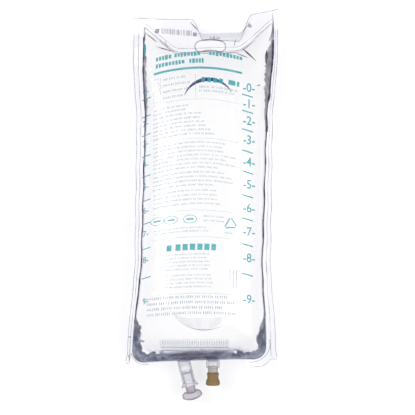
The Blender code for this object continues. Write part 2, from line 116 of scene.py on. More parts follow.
def outwards(item):
    # merged, closed and facing out
    shape = bmesh.new()
    shape.from_mesh(item.data)
    bmesh.ops.remove_doubles(shape, verts=shape.verts, dist=2e-6)
    bmesh.ops.dissolve_degenerate(shape, edges=shape.edges, dist=1e-7)
    bmesh.ops.recalc_face_normals(shape, faces=shape.faces)
    volume = shape.calc_volume(signed=True)
    if volume < 0:
        bmesh.ops.reverse_faces(shape, faces=shape.faces)
    shape.to_mesh(item.data)
    shape.free()
    item.data.shade_smooth()
    return abs(volume)


def closedObject(name, points, faces):
    made = meshObject(name, points, faces)
    outwards(made)
    return made


def ridesBag(item, finish, replaced=None):
    setFinish(item, finish)
    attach(item, "bag")
    if replaced:
        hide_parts(replaced)


# shape of the filled bag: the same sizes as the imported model, in metres
bag = dict(
    noseY=-0.1439, length=0.284, halfMid=0.0563, halfFold=0.0622, halfHead=0.0604,
    waistStart=0.010, waistEnd=0.095, headFlare=0.070, cornerRadius=0.0125, foldBow=0.0022,
    bowlHalf=0.030, bowlSlope=0.88, bowlSoftness=0.006,
    pouchLean=0.030, sheetLean=0.013, skew=0.20, sideShift=0.0014,
    crest=0.0455, seamMid=0.0195, seamEnd=0.0172, cornerDrop=0.0050, backSag=0.0450,
    tableRounding=0.0030, crossPower=2.4, endPower=2.4, foldRun=0.056, headRun=0.112,
    backFoldRun=0.100, backHeadRun=0.216,
    puckerPitch=0.034, puckerHeight=0.0004, puckerSway=0.0003, puckerTurn=0.7,
    gatherPitch=0.017, gatherDepth=0.0011, gatherReach=0.022,
    sealWidth=0.0062, seal=0.0006, headerHeight=0.0350, headerSink=0.0040, headerRise=0.0032,
    curlStart=0.0112, curlRadius=0.0064, curlLeft=-0.0080, curlRight=0.0370, curlFade=0.0070,
    apronLeft=0.0004, apronRight=0.0055, apronStart=0.0340, apronEnd=0.0480,
    tailDrop=0.0013, tailStep=0.0025, tailFlare=0.0016,
    slotX=0.0043, slotAbove=0.0066, slotLength=0.0280, slotWidth=0.0096, slotBend=0.0300,
    slotSteps=14, slotCut=0.006, weldFadeFrom=-0.0015, weldFadeTo=0.0010, sharpAngle=50,
    columns=112, rows=230, crowding=0.8, sideColumns=7, headerRows=34, tailRows=10)
weldY = bag['noseY'] + bag['length']  # lowest point of the header weld

# dents in the front film, in millimetres on the table plan: both ends, width and depth
creases = [
    (36, 145, 50, 133, 1.5, 1.7), (-42, 146, -27, 141, 1.4, 1.1), (58.5, 142, 58, 129, 2.0, 2.2),
    (27, -133, 41, -138.5, 1.5, 2.4), (31, -131, 38, -141, 1.3, 2.0), (41, -134, 46, -137, 1.3, 1.4),
    (-62.5, -107, -56, -110, 1.4, 1.3), (-63, -120, -57, -124, 1.6, 1.6), (53, -119, 57, -122, 1.4, 1.2),
    (-50, -134, -42, -143, 1.8, 2.2), (-39, -135, -33, -144, 1.6, 2.0), (-57, -129, -49, -136, 1.8, 1.8),
    (50, -137, 57, -126, 2.0, 1.8), (46, -140, 36, -142, 1.6, 1.6), (50.5, 108, 54.5, 109, 1.2, 0.9),
]


def softStep(start, end, value):
    share = min(max((value - start) / (end - start), 0.0), 1.0)
    return share * share * (3.0 - 2.0 * share)


def stepAt(place, fade, value):
    return softStep(place - fade, place + fade, value)


def softFloor(value, rounding):
    if value <= -rounding:
        return 0.0
    if value >= rounding:
        return value
    return (value + rounding) ** 2 / (4.0 * rounding)


def swell(distance, run, bluntness):
    left = min(max(0.0, 1.0 - distance / run), 1.0)
    return (1.0 - left ** bag['endPower']) ** (1.0 / bluntness)


def spaced(value):
    return sin(value * pi / 2)


def crowd(share):
    # rows stand closer together towards both ends of the pouch
    return bag['crowding'] * spaced(share) + (1 - bag['crowding']) * share


def layerFaces(rows, wide, hidden=()):
    # faces of a front layer of points, and of a back layer that follows it in the same order
    faces = []
    for first in range(0, (rows - 1) * wide, wide):
        for a in range(first, first + wide - 1):
            if a in hidden and a + 1 in hidden:
                continue
            cell = [a, a + 1, a + 1 + wide, a + wide]
            faces += [cell, [i + rows * wide for i in reversed(cell)]]
    return faces


def halfWidth(y):
    nearFold = 1.0 - softStep(bag['waistStart'], bag['waistEnd'], y - bag['noseY'])
    nearHead = 1.0 - softStep(0.0, bag['headFlare'], weldY - y)
    wave = bag['puckerSway'] * cos(tau * y / bag['puckerPitch'])
    return (bag['halfMid'] + (bag['halfFold'] - bag['halfMid']) * nearFold
            + (bag['halfHead'] - bag['halfMid']) * nearHead + wave * (1.0 - nearFold) * (1.0 - nearHead))


def foldLine(across, inset):
    reach = bag['halfFold'] - inset
    radius = bag['cornerRadius'] - inset
    past = max(0.0, abs(across) * reach - (reach - radius))
    nose = bag['noseY'] - bag['foldBow'] * across ** 4 + inset
    return nose + radius - sqrt(max(radius * radius - past * past, 0.0))


def weldLine(x, inset=0.0):
    rise = bag['bowlSlope'] * softFloor(abs(x) - bag['bowlHalf'], bag['bowlSoftness'])
    return weldY - inset + rise


def seamHeight(x, y):
    along = min(abs(y / bag['noseY']), 1.1)
    side = min(abs(x) / bag['halfFold'], 1.1)
    turn = copysign(bag['puckerTurn'], x)
    pucker = bag['puckerHeight'] * sin(tau * y / bag['puckerPitch'] + turn)
    return (bag['seamMid'] + (bag['seamEnd'] - bag['seamMid']) * along ** 3
            - bag['cornerDrop'] * side * side * along ** 3 + pucker * side ** 4)


def laidDown(x, y, lean):
    # from the pouch's or the sheet's own plan to the table plan
    return x + bag['sideShift'] + bag[lean] * y, y + bag['skew'] * x * abs(y)


def stoodUp(place):
    # back from the table plan to the pouch's own plan
    px, py = place.x - bag['sideShift'], place.y
    x = px - bag['pouchLean'] * py
    return x, py - bag['skew'] * x * abs(py)


def creaseDepth(x, y):
    # sum of the dents at a place on the plan, in metres
    total = 0.0
    for x1, y1, x2, y2, width, depth in creases:
        ax, ay, bx, by = x1 / 1000, y1 / 1000, x2 / 1000, y2 / 1000
        length2 = (bx - ax) ** 2 + (by - ay) ** 2
        share = ((x - ax) * (bx - ax) + (y - ay) * (by - ay)) / length2
        if share < -1.0 or share > 2.0:
            continue
        off = hypot(x - ax - share * (bx - ax), y - ay - share * (by - ay)) * 1000 / width
        if off > 3.0:
            continue
        ends = softStep(-0.25, 0.3, share) * (1.0 - softStep(0.7, 1.25, share))
        total += depth / 1000 * ends * exp(-off * off)
    return total


# small uneven puckers that run in from the side welds, waves about 15, 6 and 4 mm long
wrinkle = dict(height=0.00016, reach=0.007, start=0.0015)


def sideWrinkle(x, y, distance):
    side = 1.0 if x > 0 else -1.0
    wave = (sin(y * 410 + side) + 0.7 * sin(y * 983 + 2.1 * side + 4 * sin(y * 61))
            + 0.5 * sin(y * 1490 + side * 5.0))
    fade = exp(-distance / wrinkle['reach']) * (1.0 - exp(-distance / wrinkle['start']))
    return wrinkle['height'] * wave * fade


def pouchPoint(across, along, front, inset):
    # across and along run from -1 to 1; inset 0 is the outside of the film
    low = foldLine(across, inset)
    high = weldLine(across * (bag['halfHead'] - inset), inset)
    y = low + (high - low) * (0.5 + crowd(along) / 2)
    half = halfWidth(y) - inset
    x = across * half
    fullness = sqrt(max(0.0, 1.0 - abs(across) ** bag['crossPower']))
    seam = seamHeight(x, y)
    rim = max(0.0, bag['seal'] / 2 - inset)
    px, py = laidDown(x, y, 'pouchLean')
    if front:
        fullness *= swell(y - low, bag['foldRun'], 2.0) * swell(high - y, bag['headRun'], 1.0)
        near = exp(-min(y - low, high - y) / bag['gatherReach'])
        gather = 0.5 - 0.5 * cos(tau * x / bag['gatherPitch'])
        rise = bag['crest'] - inset - bag['seamMid'] - rim - bag['gatherDepth'] * gather * near
        z = seam + rim + rise * fullness
        z += (sideWrinkle(x, y, half - abs(x)) - creaseDepth(px, py)) * min(1.0, fullness * 2)
    else:
        fullness *= swell(y - low, bag['backFoldRun'], 1.0) * swell(high - y, bag['backHeadRun'], 1.0)
        z = inset + softFloor(seam - rim - inset - (bag['backSag'] - inset) * fullness, bag['tableRounding'])
    return Vector((px, py, z))


# header, side welds, the flat apron round the pouch's corners, and the tails

def leanShift(y):
    return (bag['pouchLean'] - bag['sheetLean']) * y


def sheetHalf(y):
    nearFold = 1.0 - softStep(0.0, bag['waistStart'], y - bag['noseY'])
    return halfWidth(y) + bag['sealWidth'] + bag['tailFlare'] * nearFold


def sheetBottom(x):
    off = x - leanShift(bag['noseY'])
    apron = bag['apronRight'] if off > 0 else bag['apronLeft']
    radius = bag['cornerRadius']
    turnedIn = max(0.0, abs(off) - (bag['halfFold'] + apron - radius))
    edge = bag['noseY'] - bag['foldBow'] - apron + radius - sqrt(max(radius ** 2 - turnedIn ** 2, 0.0))
    tail = min(edge, bag['noseY'] - bag['tailDrop'])
    edge += (tail - edge) * softStep(bag['halfFold'], bag['halfFold'] + bag['tailStep'], abs(off))
    hidden = bag['noseY'] + 4 * bag['seal']
    return hidden + (edge - hidden) * softStep(bag['apronStart'], bag['apronEnd'], abs(off))


def sheetTop(across):
    return (weldY + bag['headerHeight']
            - bag['headerSink'] * (1 - across ** 2) + bag['headerRise'] * max(0.0, across) ** 2)


def curled(x, y, z):
    start = weldY + bag['curlStart']
    past = y - start
    left, right = (stepAt(bag[end], bag['curlFade'], x) for end in ('curlLeft', 'curlRight'))
    bend = left * (1.0 - right) / bag['curlRadius']
    if past <= 0.0 or bend * past < 1e-4:
        return y, z
    floor = 2 * bag['seal']
    height = z - floor - (1 - cos(bend * past)) / bend
    return start + sin(bend * past) / bend, floor + softFloor(height, bag['tableRounding'])


def flatPoint(x, y, front):
    # film outside the pouch: two layers welded to one thin sheet
    seam = seamHeight(x - leanShift(y), y)
    yTurned, z = curled(x, y, seam)
    px, py = laidDown(x, yTurned, 'sheetLean')
    yNext, zNext = curled(x, y + 1e-4, seam)
    slope, run = zNext - z, yNext - yTurned
    length = hypot(slope, run) or 1.0
    shift = bag['seal'] / 2 * (1 if front else -1)
    return Vector((px, py - shift * slope / length, max(0.0, z + shift * run / length)))


def sheetX(a, out, y):
    # x on the flat film: pouch edge at out 0, cut edge of the film at out 1
    inner = a * halfWidth(y) + leanShift(y)
    return inner + (copysign(sheetHalf(y), a) - inner) * out


def buildFilm():
    across = [spaced(2 * c / bag['columns'] - 1) for c in range(bag['columns'] + 1)]
    side = [s / bag['sideColumns'] for s in range(1, bag['sideColumns'] + 1)]
    columns = [(-1.0, s) for s in reversed(side)] + [(a, 0.0) for a in across] + [(1.0, s) for s in side]
    rows = [('tail', 1 - r / bag['tailRows']) for r in range(bag['tailRows'])]
    rows += [('pouch', 2 * r / bag['rows'] - 1) for r in range(bag['rows'] + 1)]
    rows += [('header', (r + 1) / bag['headerRows']) for r in range(bag['headerRows'])]
    points, hidden = [], set()
    for front in (True, False):
        for zone, share in rows:
            for a, out in columns:
                if zone == 'pouch' and out == 0.0:
                    points.append(pouchPoint(a, share, front, 0.0))
                    continue
                low, high = foldLine(a, 0.0), weldLine(a * bag['halfHead'])
                if zone == 'pouch':
                    y = low + (high - low) * (0.5 + crowd(share) / 2)
                elif zone == 'header':
                    edge = sheetX(a, out, weldY) / sheetHalf(weldY)
                    y = high + (sheetTop(edge) - high) * share
                else:
                    bottom = sheetBottom(sheetX(a, out, bag['noseY']))
                    y = low + (min(bottom, low) - low) * share
                    if bottom >= low - 1e-5:
                        hidden.add(len(points))
                x = sheetX(a, out, min(y, weldY) if zone == 'header' else y)
                points.append(flatPoint(x, y, front))
    count = len(rows) * len(columns)
    film = meshObject("bagFilm", points, layerFaces(len(rows), len(columns), hidden))
    # both layers are joined along their free edges
    shape = bmesh.new()
    shape.from_mesh(film.data)
    shape.verts.ensure_lookup_table()
    for edge in [e for e in shape.edges if e.is_boundary]:
        a, b = edge.verts
        if a.index < count and b.index < count:
            shape.faces.new((a, b, shape.verts[b.index + count], shape.verts[a.index + count]))
    shape.to_mesh(film.data)
    shape.free()
    outwards(film)
    film.data.set_sharp_from_angle(angle=radians(bag['sharpAngle']))
    return film


def slotOutline():
    # bean shaped hanger slot on the table plan, and the film's height there
    steps, half, bend = bag['slotSteps'], bag['slotWidth'] / 2, bag['slotBend']
    middle = Vector((bag['slotX'], weldY + bag['slotAbove']))
    swing = (bag['slotLength'] / 2 - half) / bend
    outline = []
    for side, reach in ((1, bend + half), (-1, bend - half)):
        for step in range(steps + 1):
            turn = side * swing * (1 - 2 * step / steps)
            outline.append(middle + Vector((reach * sin(turn), reach * cos(turn) - bend)))
        end = -side * swing
        hub = middle + Vector((bend * sin(end), bend * cos(end) - bend))
        for step in range(1, steps):
            turn = end + (0 if side > 0 else pi) - pi * step / steps
            outline.append(hub + half * Vector((sin(turn), cos(turn))))
    shift = Vector(laidDown(*middle, 'sheetLean')) - middle
    return [p + shift for p in outline], seamHeight(*middle)


def cutSlot(film):
    outline, height = slotOutline()
    points = [(p.x, p.y, height + h) for h in (-bag['slotCut'], bag['slotCut']) for p in outline]
    n = len(outline)
    faces = [list(range(n)), list(range(2 * n - 1, n - 1, -1))]
    faces += [[i, i + n, (i + 1) % n + n, (i + 1) % n] for i in range(n)]
    cutter = closedObject("slotCutter", points, faces)
    only(film)
    cut = film.modifiers.new("slotCut", 'BOOLEAN')
    cut.operation = 'DIFFERENCE'
    cut.solver = 'EXACT'
    cut.object = cutter
    bpy.ops.object.modifier_apply(modifier=cut.name)
    bpy.data.objects.remove(cutter)


def markFlatFilm(film):
    # share of flat welded film at each point: 1 in the header and the side welds, 0 over the pouch
    share = film.data.attributes.new("flatFilm", 'FLOAT', 'POINT')
    for vertex in film.data.vertices:
        x, y = stoodUp(vertex.co)
        outside = max(y - weldLine(x), abs(x) - halfWidth(y))
        share.data[vertex.index].value = softStep(bag['weldFadeFrom'], bag['weldFadeTo'], outside)


film = buildFilm()
cutSlot(film)
markFlatFilm(film)
skin = BVHTree.FromObject(film, bpy.context.evaluated_depsgraph_get())
print("film skin with its hanger slot,", len(film.data.polygons), "faces")


def onFilm(x, y, lift):
    # place on the upper side of the film, all in millimetres on the table plan, found by a ray from above
    hit = skin.ray_cast(Vector((x / 1000, y / 1000, 0.2)), Vector((0, 0, -1)))[0]
    if hit is None:
        return None
    return Vector((x / 1000, y / 1000, hit.z + lift / 1000))


# solution with the long bubble over it; sizes in metres
liquid = dict(inset=0.0005, columns=100, rows=210, level=0.0385, dip=0.0012, meniscus=0.0020,
              meniscusRun=0.0022, topX=0.0060, topY=0.0933, topRadius=0.0230,
              endX=0.0028, endY=-0.0851, endRadius=0.0300)

# painted shade along the rim of the solution: y on the pouch's plan and width in millimetres, left and right
# side
rimShadeWidths = {
    -1: [(-160, 9.0), (-120, 9.5), (-110, 6.0), (-102, 1.6), (60, 1.4), (84, 2.6), (104, 3.6), (140, 3.4),
         (166, 1.5)],
    1: [(-160, 8.5), (-122, 9.0), (-112, 6.5), (-106, 2.6), (-100, 1.6), (62, 1.4), (92, 3.6), (104, 6.4),
        (136, 6.6), (150, 3.0), (170, 1.5)]}
# share of that painted shade left over the port plate, and the plate's ends and their fade in millimetres
rimShadePlate = dict(left=-37.0, right=24.0, fade=3, strength=0.62)
deepest = 4.0  # widths past which the depth in the rim isn't told apart


def rimShadeWidth(x, y):
    knots = rimShadeWidths[1 if x > 0 else -1]
    value = knots[0][1]
    for (y1, w1), (y2, w2) in zip(knots, knots[1:]):
        if y * 1000 > y1:
            value = w1 + (w2 - w1) * min(1.0, (y * 1000 - y1) / (y2 - y1))
    return value / 1000


def rimDistance(x, y):
    # distance of a point of the pouch's own plan from the outline of the pouch
    radius = bag['cornerRadius']
    turned = abs(x) - (halfWidth(y) - radius)
    low = bag['noseY'] - bag['foldBow'] * min(1.0, abs(x) / bag['halfFold']) ** 4 + radius - y
    if turned > 0 and low > 0:
        return radius - hypot(turned, low)
    return radius - max(turned, low)


def bubbleInside(x, y):
    # distance inside the outline of the bubble, negative outside
    dx, dy = liquid['endX'] - liquid['topX'], liquid['endY'] - liquid['topY']
    ax, ay = x - liquid['topX'], y - liquid['topY']
    share = min(max((ax * dx + ay * dy) / (dx * dx + dy * dy), 0.0), 1.0)
    radius = liquid['topRadius'] + (liquid['endRadius'] - liquid['topRadius']) * share
    return radius - hypot(ax - dx * share, ay - dy * share)


def liquidPoint(across, along, front):
    point = pouchPoint(across, along, front, liquid['inset'])
    if front:
        inside = bubbleInside(point.x, point.y)
        if inside > 0.0:
            edge = point.z - softStep(0.0, 1.0, inside / liquid['meniscusRun']) * liquid['meniscus']
            point.z = min(edge, max(liquid['level'], edge - liquid['dip']))
    return point


def buildLiquid():
    across = [spaced(2 * c / liquid['columns'] - 1) for c in range(liquid['columns'] + 1)]
    along = [2 * r / liquid['rows'] - 1 for r in range(liquid['rows'] + 1)]
    points = [liquidPoint(a, b, front) for front in (True, False) for b in along for a in across]
    made = meshObject("salineSolution", points, layerFaces(len(along), len(across)))
    print("solution holds", round(outwards(made) * 1000, 3), "litres")
    return made


def markPaintedRimShade(item):
    # how deep each point lies in the band of painted rim shade, 0 at the weld and 1 at its inner edge, and
    # the shade's strength
    depth = item.data.attributes.new("rimDepth", 'FLOAT', 'POINT')
    strength = item.data.attributes.new("rimStrength", 'FLOAT', 'POINT')
    for vertex in item.data.vertices:
        x, y = stoodUp(vertex.co)
        depth.data[vertex.index].value = min(deepest, rimDistance(x, y) / rimShadeWidth(x, y))
        plateX = (vertex.co.x - bag['sideShift']) * 1000
        plate = stepAt(rimShadePlate['left'], rimShadePlate['fade'], plateX)
        plate *= 1.0 - stepAt(rimShadePlate['right'], rimShadePlate['fade'], plateX)
        strength.data[vertex.index].value = 1.0 - (1.0 - rimShadePlate['strength']) * plate


solution = buildLiquid()
markPaintedRimShade(solution)

# rim of the bubble, painted shade where the water's surface bends light: a thick dark crescent at its upper
# end, a thin line and a pale lens at its lower end; each has centre x and y, radius, start and end in degrees
# from the header clockwise, and thickness, in mm
bubbleRim = dict(samples=44, lift=-0.30, tip=0.14, bluntness=1.2,
                 upper=(6.0, 93.3, 23.0, -74, 66, 3.6), lower=(2.2, -82.4, 32.4, 150, 212, 0.75),
                 lens=(-1.0, -85.0, 29.4, 118, 242, 11.0))


def crescent(name, centreX, centreY, radius, start, end, thickness):
    # flat crescent just under the film
    points, faces = [], []
    n, tip = bubbleRim['samples'], bubbleRim['tip']
    for i in range(n + 1):
        angle = radians(start + (end - start) * (i / n))
        width = thickness * (tip + (1 - tip) * sin(pi * i / n) ** bubbleRim['bluntness'])
        for part in (0.0, 0.5, 1.0):
            reach = radius - width * part
            points.append(onFilm(centreX + reach * sin(angle), centreY + reach * cos(angle),
                                 bubbleRim['lift']))
    for i in range(n):
        for k in (0, 1):
            a = i * 3 + k
            faces.append([a, a + 1, a + 4, a + 3])
    made = meshObject(name, points, faces)
    made.data.shade_smooth()
    return made


upperRim = crescent("bubbleUpperRim", *bubbleRim['upper'])
lowerRim = crescent("bubbleLowerRim", *bubbleRim['lower'])
lowerLens = crescent("bubbleLowerLens", *bubbleRim['lens'])
print("bubble rims", len(upperRim.data.polygons) + len(lowerRim.data.polygons), "faces")

# welds: thin raised lines where the two layers of film are pressed together; radii in millimetres
weld = dict(sides=6, least=0.06, edge=0.22, line=0.20, slot=0.60, slotOut=0.0003,
            sideLow=0.001, sideHigh=0.020, sideLines=((0.45, 0.20, 0.10), (0.97, 0.22, 0.06)),
            bowlReach=0.0585, bowlLines=((0.0004, 0.26), (0.0040, 0.20)), bowlUneven=0.08,
            edgeIn=0.0003, edgeUneven=0.05, tailFrom=0.049, tailRun=0.0205,
            cornerX=0.0462, cornerY=-0.1310, cornerWide=0.0168, cornerTall=0.0160,
            cornerFrom=-100, cornerTurn=118)
# folds: grey beads on the film, partly stacked film and partly painted shade of its creases; gathered film
# beside the side welds, as side, y from and to in metres, radius and unevenness in millimetres, and short
# folds at the corners, as both ends on the table plan and radius in millimetres
fold = dict(
    lift=0.05, pitch=0.0016, inset=0.0006, bowlFrom=-0.045, bowlRun=0.088, bowlBelow=0.0012,
    bowl=0.26, bowlUneven=0.20,
    gathers=((-1, 0.060, 0.156, 0.62, 0.40), (1, 0.066, 0.150, 0.95, 0.55),
             (-1, -0.108, 0.060, 0.52, 0.26), (1, -0.104, 0.066, 0.56, 0.28)),
    short=((-69, -122, -65.3, -122.5, 0.5), (-11, 168.2, -2.5, 159.5, 0.45), (65.3, 177, 66.6, 150, 0.5),
           (64.8, 158, 61.5, 150, 0.4), (59.6, 142, 59, 129, 1.3), (-66, -146, -68, -139, 0.35),
           (36.5, 144.5, 49.5, 132, 0.75), (31, 139.5, 43, 134.5, 0.45), (-52.4, 158.6, -41.4, 149.4, 0.45),
           (-42.3, 145.3, -25.7, 140.6, 0.5), (-35, 151, -31.5, 145, 0.3), (31.3, 153, 29.5, 145.5, 0.35),
           (42.3, 166, 36.8, 158.6, 0.35), (50, 108.6, 53.6, 109.4, 0.6)))


def tube(points, faces, path, radii):
    # a closed thin bead along a path of vectors
    sides = weld['sides']
    path = [p for p in path if p is not None]
    first = len(points)
    for i, place in enumerate(path):
        before, after = path[max(i - 1, 0)], path[min(i + 1, len(path) - 1)]
        way = (after - before).normalized()
        right = way.cross(Vector((0, 0, 1)))
        right = right.normalized() if right.length > 1e-6 else Vector((1, 0, 0))
        up = right.cross(way)
        radius = radii[min(i, len(radii) - 1)] / 1000
        for k in range(sides):
            turn = tau * k / sides
            points.append(place + radius * (right * cos(turn) + up * sin(turn)))
    for i in range(len(path) - 1):
        for k in range(sides):
            a, b = first + i * sides + k, first + i * sides + (k + 1) % sides
            faces.append([a, b, b + sides, a + sides])
    last = first + (len(path) - 1) * sides
    faces.append([first + k for k in reversed(range(sides))])
    faces.append([last + k for k in range(sides)])


def unevenTube(points, faces, path, middle, spread, seed):
    # a bead whose radius swells and thins along its path
    dice = random.Random(seed)
    knots = [middle + spread * dice.uniform(-1, 1) for _ in range(len(path) // 5 + 3)]
    radii = []
    for i in range(len(path)):
        k, share = i // 5, softStep(0, 5, i % 5)
        radii.append(max(weld['least'], knots[k] + (knots[k + 1] - knots[k]) * share))
    tube(points, faces, path, radii)


def buildWelds():
    beads = [], []
    # two lines up each side weld
    low, high = bag['noseY'] + weld['sideLow'], weldY + weld['sideHigh']
    ys = [low + (high - low) * i / 110 for i in range(111)]
    for side in (-1, 1):
        for out, radius, spread in weld['sideLines']:
            path = [flatPoint(sheetX(side, out, min(y, weldY)), y, True) for y in ys]
            unevenTube(*beads, path, radius, spread, 3 + side + int(out * 9))
    # two lines along the bowl shaped header weld
    xs = [weld['bowlReach'] * (2 * i / 90 - 1) for i in range(91)]
    for above, radius in weld['bowlLines']:
        path = [flatPoint(x + leanShift(weldY), weldLine(x) + above, True) for x in xs]
        unevenTube(*beads, path, radius, weld['bowlUneven'], 11)
    # cut edge of the header and of the tails
    acrosses = [-1 + 2 * i / 120 for i in range(121)]
    path = [flatPoint(a * sheetHalf(weldY), sheetTop(a) - weld['edgeIn'], True) for a in acrosses]
    unevenTube(*beads, path, weld['edge'], weld['edgeUneven'], 17)
    for side in (-1, 1):
        xs = [side * (weld['tailFrom'] + weld['tailRun'] * i / 30) for i in range(31)]
        path = [flatPoint(x, sheetBottom(x) + weld['edgeIn'], True) for x in xs]
        unevenTube(*beads, path, weld['edge'], weld['edgeUneven'], 23 + side)
    # weld that rounds the pouch's right corner
    angles = [radians(weld['cornerFrom'] + weld['cornerTurn'] * i / 24) for i in range(25)]
    path = [flatPoint(weld['cornerX'] + weld['cornerWide'] * cos(angle),
                      weld['cornerY'] + weld['cornerTall'] * sin(angle), True) for angle in angles]
    tube(*beads, path, [weld['line']])
    return closedObject("weldBeads", *beads)


def onPouch(x, y):
    px, py = laidDown(x, y, 'pouchLean')
    return onFilm(px * 1000, py * 1000, fold['lift'])


def buildFolds():
    beads = [], []
    for side, start, stop, thick, spread in fold['gathers']:
        count = int((stop - start) / fold['pitch'])
        ys = [start + (stop - start) * i / count for i in range(count + 1)]
        path = [onPouch(side * (halfWidth(y) - fold['inset']), y) for y in ys]
        unevenTube(*beads, path, thick, spread, 31 + side + count)
    for x1, y1, x2, y2, radius in fold['short']:
        path = [onFilm(x1 + (x2 - x1) * i / 12, y1 + (y2 - y1) * i / 12, fold['lift']) for i in range(13)]
        tube(*beads, path, [radius * sin(pi * (i + 0.6) / 13.2) for i in range(13)])
    # the film creases along the lower side of the bowl shaped weld
    xs = [fold['bowlFrom'] + fold['bowlRun'] * i / 60 for i in range(61)]
    path = [onPouch(x, weldLine(x) - fold['bowlBelow']) for x in xs]
    unevenTube(*beads, path, fold['bowl'], fold['bowlUneven'], 45)
    return closedObject("gatheredFolds", *beads)


def buildSlotRim():
    beads = [], []
    outline, height = slotOutline()
    path = [Vector((p.x, p.y, 0)) for p in outline]
    middle = sum(path, Vector()) / len(path)
    path = [p + (p - middle).normalized() * weld['slotOut'] for p in path]
    for p in path:
        p.z = height + weld['slotOut']
    tube(*beads, path + path[:2], [weld['slot']])
    return closedObject("slotRim", *beads)


weldBeads = buildWelds()
gatheredFolds = buildFolds()
slotRim = buildSlotRim()
print("welds and folds", len(weldBeads.data.polygons) + len(gatheredFolds.data.polygons), "faces")

# print on the film: plain bars, rings and scale numbers, in millimetres on the table plan
label = dict(
    lift=0.12, step=2.4, bow=0.0036, bowLess=0.0022, bowMiddle=-2,
    rightNumbers=[106.2, 91.4, 75.8, 58.3, 38.1, 17.8, -3.8, -25.4, -49.3, -87.0],
    rightTicks=[99.4, 84.5, 67.5, 48.2, 29.3, 7.7, -13.4, -36.9, -64.0],
    leftNumbers=[103.4, 89.6, 74.0, 55.6, 36.2, 16.0, -6.1, -27.2, -51.2, -88.9],
    leftTicks=[97.0, 80.9, 63.8, 44.5, 26.1, 4.0, -17.1, -40.1, -66.8],
    # column of numbers: x, slope and share of the size; its ticks: x and rise of both ends, width
    rightColumn=(43.0, -0.10, 1.0), rightTick=(36.6, 1.3, 46.6, -1.7, 1.25),
    leftColumn=(-51.6, 0.25, 0.66), leftTick=(-55.2, -1.6, -46.9, 1.2, 1.0),
    numberSize=11.6, numberBold=0.14, numberNarrow=0.86, numberLift=0.05)


def bow(x, y):
    # the film is stretched over the fill, so the lines of the print bow upwards, less near the ports
    strength = label['bow'] - label['bowLess'] * softStep(60, -100, y)
    return strength * (x - label['bowMiddle']) ** 2


def bar(points, faces, x1, y1, x2, y2, width):
    # straight bar of ink in short pieces that follow the film
    length = hypot(x2 - x1, y2 - y1)
    count = max(1, round(length / label['step']))
    nx, ny = -(y2 - y1) / length * width / 2, (x2 - x1) / length * width / 2
    first = len(points)
    for i in range(count + 1):
        x, y = x1 + (x2 - x1) * i / count, y1 + (y2 - y1) * i / count
        for sign in (1, -1):
            px, py = x + sign * nx, y + sign * ny
            points.append(onFilm(px, py - bow(px, py), label['lift']))
    for i in range(count):
        a = first + 2 * i
        faces.append([a, a + 1, a + 3, a + 2])


def ring(points, faces, x, y, wide, tall, width, sides=26):
    first = len(points)
    for i in range(sides):
        turn = tau * i / sides
        for grow in (0.0, -width):
            px, py = x + (wide / 2 + grow) * cos(turn), y + (tall / 2 + grow) * sin(turn)
            points.append(onFilm(px, py - bow(px, py), label['lift']))
    for i in range(sides):
        a, b = first + 2 * i, first + 2 * ((i + 1) % sides)
        faces.append([a, a + 1, b + 1, b])


def textLines(points, faces, x1, x2, y1, y2, count, tall, seed, full=0.9):
    # lines of small print as plain strokes of letter height, set in words
    dice = random.Random(seed)
    for line in range(count):
        y = y1 + (y2 - y1) * line / max(count - 1, 1)
        x = x1
        stop = x1 + (x2 - x1) * dice.uniform(full - 0.15, 1.0)
        while x < stop:
            for letter in range(dice.randint(2, 8)):
                half = tall / 2 * dice.uniform(0.7, 1.1)
                bar(points, faces, x, y - half, x, y + half, tall * dice.uniform(0.35, 0.55))
                x += tall * 0.72
            x += tall * 0.5


def scaleNumber(points, faces, text, x, y, slope, size):
    bpy.ops.object.select_all(action='DESELECT')
    bpy.ops.object.text_add()
    item = bpy.context.active_object
    item.data.body = text
    item.data.align_x = 'CENTER'
    item.data.align_y = 'CENTER'
    item.data.size = size
    item.data.offset = label['numberBold']
    item.data.resolution_u = 3
    bpy.ops.object.convert(target='MESH')
    first = len(points)
    for vertex in item.data.vertices:
        px = x + vertex.co.x * label['numberNarrow']
        py = y + vertex.co.y + slope * (px - x)
        points.append(onFilm(px, py, label['lift'] + label['numberLift']))
    for face in item.data.polygons:
        faces.append([first + i for i in face.vertices])
    bpy.data.objects.remove(item)


def inkObject(name, points, faces):
    faces = [face for face in faces if all(points[i] is not None for i in face)]
    made = meshObject(name, [p or Vector((0, 0, 0)) for p in points], faces)
    shape = bmesh.new()
    shape.from_mesh(made.data)
    bmesh.ops.delete(shape, geom=[v for v in shape.verts if not v.link_faces], context='VERTS')
    for face in shape.faces:
        face.normal_update()
        if face.normal.z < 0:
            face.normal_flip()
    shape.to_mesh(made.data)
    shape.free()
    return made


